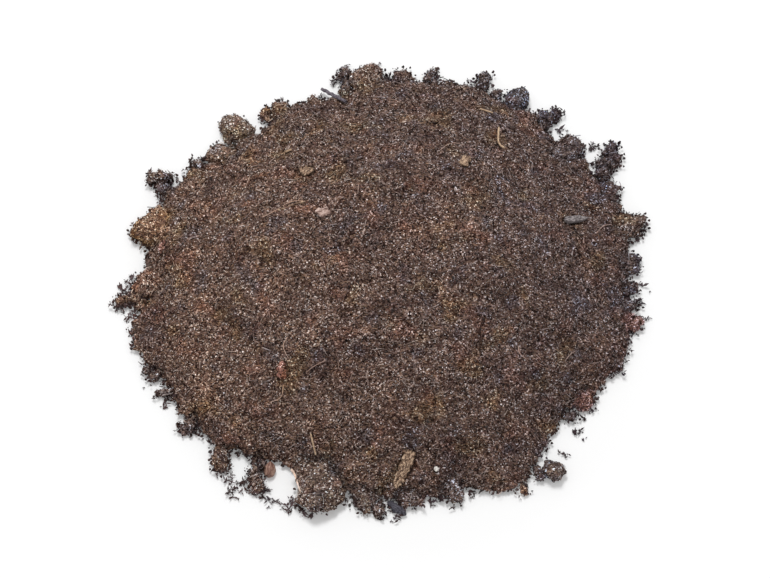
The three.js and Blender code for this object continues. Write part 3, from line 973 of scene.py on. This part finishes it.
# Each row is for one node, or for every node of a slot that has no row of its own. The
# streaked colours run along the chip or stalk, from dark to pale.
trims = {
    "pink_flake_left": {
        "name": "pinkFlake", "voxel": 0.35 * mm, "relief": [(noise.noise, 1.6 * mm, 1.6 * mm)],
        "colours": [(0.36, "6e544c"), (0.5, "a4877c"), (0.64, "d8bfb4")], "streak": 0.6 * mm,
        "gloss": 0.7},
    "red_flake_left": {
        "name": "redFlake", "voxel": 0.35 * mm, "relief": [(noise.noise, 1.2 * mm, 1.4 * mm)],
        "colours": [(0.36, "55342c"), (0.5, "8c5a4c"), (0.64, "bd8c7c")], "streak": 0.6 * mm,
        "gloss": 0.7},
    "bark": {
        "name": "barkChips", "voxel": 0.35 * mm, "relief": [(noise.noise, 1.2 * mm, 1.2 * mm)],
        "colours": [(0.36, "3c2c22"), (0.5, "8a6c56"), (0.64, "d0b498")], "streak": 0.6 * mm,
        "gloss": 0.7},
    "grey_bark": {
        "name": "greyChip", "voxel": 0.35 * mm, "relief": [(noise.noise, 0.4 * mm, 1.6 * mm)],
        "colours": [(0.36, "4a4242"), (0.5, "716969"), (0.64, "9a9292")], "streak": 0.6 * mm,
        "gloss": 0.7},
    "straw": {
        "name": "straws", "voxel": 0.22 * mm, "relief": [(noise.noise, 0.15 * mm, 1.2 * mm)],
        "sink": 0.12 * mm, "colours": [(0.3, "7d6250"), (0.5, "b8997c"), (0.7, "e0c8a8")],
        "streak": 0.4 * mm, "gloss": 0.55},
    "brown_seed": {
        "name": "seed", "voxel": 0.5 * mm, "relief": [(noise.noise, 0.4 * mm, 4 * mm)],
        "colours": [(0.36, "6a483e"), (0.5, "8d6a5c"), (0.64, "b29080")], "streak": 1.2 * mm,
        "gloss": 0.5},
    "twig_back": {
        "name": "greyTwig", "voxel": 0.3 * mm, "relief": [(noise.noise, 0.5 * mm, 1.6 * mm)],
        "colours": [(0.3, "38323a"), (0.5, "5c545c"), (0.7, "857c84")], "streak": 0.5 * mm,
        "gloss": 0.7},
    "twig": {
        "name": "twigs", "voxel": 0.3 * mm, "relief": [(noise.noise, 1.1 * mm, 1.3 * mm)],
        "colours": [(0.3, "24222a"), (0.5, "434049"), (0.7, "67646e")], "streak": 0.5 * mm,
        "gloss": 0.8},
    "grit": {
        "name": "paleGrit", "voxel": 0.22 * mm, "relief": [(noise.noise, 0.3 * mm, 0.9 * mm)],
        "colours": [(0.3, "c8c0b6"), (0.5, "e4dfd8"), (0.7, "fbf8f4")], "streak": 0.8 * mm,
        "gloss": 0.6},
}
streaks = {
    "stretch": (0.12, 1, 1),
    "detail": 3.0,
    "dust": 0.5,
    "bump": 0.6,
    "bumpDepth": 0.3 * mm,
}


def trimMaterial(kind):
    material = bpy.data.materials.new(kind["name"])
    material.use_nodes = True
    tree = material.node_tree
    shader = tree.nodes["Principled BSDF"]
    along = addNode(tree, "ShaderNodeAttribute", attribute_name="along").outputs["Vector"]
    drawn = moved(tree, along, scale=streaks["stretch"])
    lines = noiseAt(tree, drawn, kind["streak"], streaks["detail"])
    fine = maths(tree, "SUBTRACT", noiseAt(tree, along, soil["dustSize"]), 0.5)
    tone = maths(tree, "MULTIPLY_ADD", fine, streaks["dust"], lines)
    tree.links.new(ramp(tree, tone, kind["colours"]), shader.inputs["Base Color"])
    shader.inputs["Roughness"].default_value = kind["gloss"]
    values = {"Strength": streaks["bump"], "Distance": streaks["bumpDepth"], "Height": lines}
    tree.links.new(addNode(tree, "ShaderNodeBump", values).outputs[0], shader.inputs["Normal"])
    return material


# Store where each corner lies along and across the chip or stalk it belongs to
def storeAlong(piece, nodes):
    frames = []
    for node in nodes:
        corners = [vertex.co for vertex in frame["nodes"][node].data.vertices]
        middle = sum(corners, Vector()) / len(corners)
        flat = [(corner - middle).xy for corner in corners]
        across = sum(2 * spot.x * spot.y for spot in flat)
        turn = 0.5 * math.atan2(across, sum(spot.x ** 2 - spot.y ** 2 for spot in flat))
        frames.append((treeOf([node]), middle, Matrix.Rotation(-turn, 3, "Z")))
    attribute = piece.data.attributes.new("along", "FLOAT_VECTOR", "POINT")
    for vertex, item in zip(piece.data.vertices, attribute.data):
        tree, middle, turn = min(frames, key=lambda own: own[0].find_nearest(vertex.co)[3])
        item.vector = turn @ (vertex.co - middle) + middle


trimmed = []
for source, kind in trims.items():
    nodes = [node for node in slotOf if source in (node, slotOf[node]) and node not in trimmed]
    trimmed += nodes
    piece = mergedCopy(kind["name"], nodes)
    remesh(piece, kind["voxel"])
    storeAlong(piece, nodes)
    roughen(piece, kind)
    piece.data.shade_smooth()
    finish(piece, trimMaterial(kind), nodes)

# Long roots that lie on the heap, and a painted highlight along the great clod's left edge

# Each root is a path seen from above, in millimetres, and is laid on the mound. The painted
# highlight edge, a pale strip where the clod's edge catches the light, has its own heights too.
roots = {
    "thickness": 0.5 * mm,
    "lift": 0.35 * mm,
    "tint": 0.92,
    "soil": (1.2, 1.1, 1.0),
    "paths": [
        [(-59.1, 18.5), (-52.2, 21.7), (-45.4, 25.7), (-38.5, 25.5)],
        [(-45.8, -44.1), (-47.8, -47.4), (-46.8, -50.8), (-45.3, -53.5)],
        [(-27.4, -56.6), (-32.7, -58.3), (-36.6, -60.4)],
        [(-47.6, -65.6), (-48.9, -70.9), (-54.2, -72.9)],
        [(106.4, 21.2), (110.9, 26.8), (114.6, 28.0)],
        [(65.1, -45.1), (65.7, -48.2), (69.0, -51.3)],
        [(88.7, -48.8), (91.3, -45.8), (93.8, -44.2)],
        [(28.5, 57.4), (34.7, 63.1), (40.2, 61.7)],
    ],
}
# a pale strip along the great clod's left edge, which is a painted highlight
paleEdge = {
    "thickness": 1.2 * mm,
    "tint": 0.95,
    "soil": (1.55, 1.58, 1.5),
    "paths": [
        [(-44, -101.8, 7.6), (-42.3, -104.1, 7), (-41.1, -107.6, 7), (-40, -111.7, 8.4),
         (-38.6, -114.3, 7.4), (-36.8, -117.2, 9.2), (-34.9, -119.5, 9.2)],
    ],
}
rootForm = {
    "taper": 0.6,
    "steps": 5,
    "roundness": 1,
    "overHeap": 0.2,
}


def rootPiece(name, spec):
    mound = treeOf(["peat_mound"]) if "lift" in spec else None
    curve = bpy.data.curves.new(name, "CURVE")
    curve.dimensions = "3D"
    curve.bevel_depth = spec["thickness"] / 2
    curve.bevel_resolution = rootForm["roundness"]
    curve.resolution_u = rootForm["steps"]
    curve.use_fill_caps = True
    for path in spec["paths"]:
        spline = curve.splines.new("BEZIER")
        spline.bezier_points.add(len(path) - 1)
        for i, (point, spot) in enumerate(zip(spline.bezier_points, path)):
            place = Vector((*spot, 0)[:3]) * mm
            if mound:
                above = place + Vector((0, 0, rootForm["overHeap"]))
                place.z = mound.ray_cast(above, Vector((0, 0, -1)))[0].z + spec["lift"]
            point.co = place
            point.radius = 1 - rootForm["taper"] * i / len(path)
            point.handle_left_type = point.handle_right_type = "AUTO"
    drawn = bpy.data.objects.new(name, curve)
    scene.collection.objects.link(drawn)
    graph = bpy.context.evaluated_depsgraph_get()
    mesh = bpy.data.meshes.new_from_object(drawn.evaluated_get(graph))
    bpy.data.objects.remove(drawn)
    piece = bpy.data.objects.new(name, mesh)
    scene.collection.objects.link(piece)
    paintSoil(piece, spec["soil"])
    tint = mesh.attributes.new("tint", "FLOAT", "POINT")
    tint.data.foreach_set("value", [spec["tint"]] * len(mesh.vertices))
    finish(piece, crumbMaterial, [])


rootPiece("longRoots", roots)
rootPiece("paleEdge", paleEdge)

# Spiky crumbs that cling round the foot of the heap

# Each place, in millimetres, has a crumb, and smaller ones beside it
spray = {
    "size": (5 * mm, 9 * mm),
    "spread": 2.2 * mm,
    "each": 3,
    "shrink": 0.5,
    "tint": (0.3, 0.72),
    "soil": (1.35, 1.75, 2.35),
    "seed": 5,
    "places": [
        (-124.5, 2.9), (-126.8, -0.4), (-129.1, -4.8), (-130.4, -9.2), (-127.2, -12.5), (-124.4, -10.3),
        (-131.7, -13.1), (-125, -16.9), (-127.4, -20.1), (-130.3, -1.5), (-123.5, -27.2), (-123.2, -34.8),
        (-119.6, -37.4), (-115.8, -43.9), (-111.7, -49.2), (-113, -53.4), (-108.8, -59.8), (-104.7, -62.9),
        (-107.1, -65.6), (-121.9, -31), (-95.1, -72.4), (-91.1, -76.6), (-89, -80.2), (-91.9, -80.2),
        (-93.5, -76.6), (-72.8, -103.3), (-69.8, -106.4), (-71.7, -109.4), (-68.3, -110.4),
        (-73.5, -111.5), (-75.1, -105.4), (-66.9, -107.4), (-62.2, -104.4), (-59.7, -108.4),
        (-60.6, -111.5), (-54.8, -114), (-51.9, -115.5), (-55.8, -110.4), (-57.7, -113.5), (-46.1, -117),
        (-43.3, -116), (-40.9, -118.5), (-38, -121), (-35.5, -122.5), (-44.2, -121), (-40, -115.5),
        (-24.8, 115.3), (-22.8, 120.1), (-19.7, 122.6), (-1.4, 122.6), (2.7, 118.9), (45.3, 114.7),
        (54.7, 115.3), (102.8, 72.6), (107.2, 68), (110.2, 77.9), (113.7, 74.9), (117, 69.1), (91.5, 86.7),
        (96.4, 81.4), (105.5, 76.1), (-1.2, -121.5), (-5.1, -118.5), (7.3, -124.1), (4.5, -120.5),
        (27.4, -114), (22.6, -115.5), (33.7, -113), (-18, -115), (41.8, -111), (45.7, -108.4),
        (16, -115.5), (87.5, -91), (94.2, -79.7), (97.8, -73.4), (-105.5, 57.5), (-103.3, 54.1),
        (-107.3, 50.6), (-109.1, 46.1), (-101, 58.7), (-104.1, 47.2), (-111.8, 45.1), (-114.7, 57.5),
        (-91.1, 69.1), (-87.7, 73.8), (-93.5, 65.1), (128.2, 10.7), (129.6, -1.5), (130.6, -20.1),
        (128.6, -10.3), (127.3, 23), (123.4, -26.7), (118.9, -38.5),
    ],
}


def sprayPiece(name, spec, shapes):
    whole = bmesh.new()
    whole.loops.layers.uv.new(mapName)
    tintLayer = whole.verts.layers.float.new("tint")
    chance = random.Random(spec["seed"])
    places = [place for place in spec["places"] for _ in range(spec["each"])]
    side = math.ceil(math.sqrt(len(places)))
    for i, (x, y) in enumerate(places):
        nth = i % spec["each"]
        first = len(whole.verts)
        firstFace = len(whole.faces)
        whole.from_mesh(chance.choice(shapes).data)
        whole.verts.ensure_lookup_table()
        whole.faces.ensure_lookup_table()
        size = chance.uniform(*spec["size"]) / (1 + spec["shrink"] * nth)
        shift = Vector((chance.uniform(-1, 1), chance.uniform(-1, 1), 0))
        shift = shift * spec["spread"] * nth
        turn = Matrix.Rotation(chance.uniform(0, 2 * math.pi), 3, "Z")
        tint = chance.uniform(*spec["tint"])
        corners = whole.verts[first:]
        for vertex in corners:
            vertex.co = turn @ vertex.co * size
            vertex[tintLayer] = tint
        sink = min(vertex.co.z for vertex in corners)
        for vertex in corners:
            vertex.co += Vector((x * mm, y * mm, -sink)) + shift
        layer = whole.loops.layers.uv[mapName]
        for face in whole.faces[firstFace:]:
            for loop in face.loops:
                u, v = loop[layer].uv
                loop[layer].uv = ((u + i % side) / side, (v + i // side) / side)
    piece = pieceFrom(name, whole)
    paintSoil(piece, spec["soil"])
    piece.data.shade_smooth()
    finish(piece, crumbMaterial, [])


sprayPiece("rimSpray", spray, forms["sprig"])

for shapes in forms.values():
    for shape in shapes:
        bpy.data.objects.remove(shape)

# Floor

# It glows a little for the camera only, and less so near the heap: a painted shadow round it
floor = {
    "size": 3,
    "drop": 0.2 * mm,
    "colour": (0.8, 0.8, 0.8, 1),
    "glow": (0.15, 0.222),
    "paintedShadowReach": (0.135, 0.19),
}

floorShape = bmesh.new()
bmesh.ops.create_grid(floorShape, x_segments=1, y_segments=1, size=floor["size"])
bmesh.ops.translate(floorShape, verts=floorShape.verts, vec=(0, 0, -floor["drop"]))
floorPiece = pieceFrom("floor", floorShape)
floorMaterial = bpy.data.materials.new("floor")
floorMaterial.use_nodes = True
tree = floorMaterial.node_tree
shader = tree.nodes["Principled BSDF"]
shader.inputs["Base Color"].default_value = floor["colour"]
shader.inputs["Roughness"].default_value = 1
shader.inputs["Emission Color"].default_value = (1, 1, 1, 1)
seen = addNode(tree, "ShaderNodeLightPath").outputs["Is Camera Ray"]
place = addNode(tree, "ShaderNodeTexCoord").outputs["Object"]
away = addNode(tree, "ShaderNodeVectorMath", {0: place}, operation="LENGTH").outputs["Value"]
# the glow is lower near the heap, which paints a shadow on the floor
glow = ranged(tree, away, *floor["paintedShadowReach"], *floor["glow"], smooth=True)
tree.links.new(maths(tree, "MULTIPLY", seen, glow), shader.inputs["Emission Strength"])
floorPiece.data.materials.append(floorMaterial)
print("made the floor")
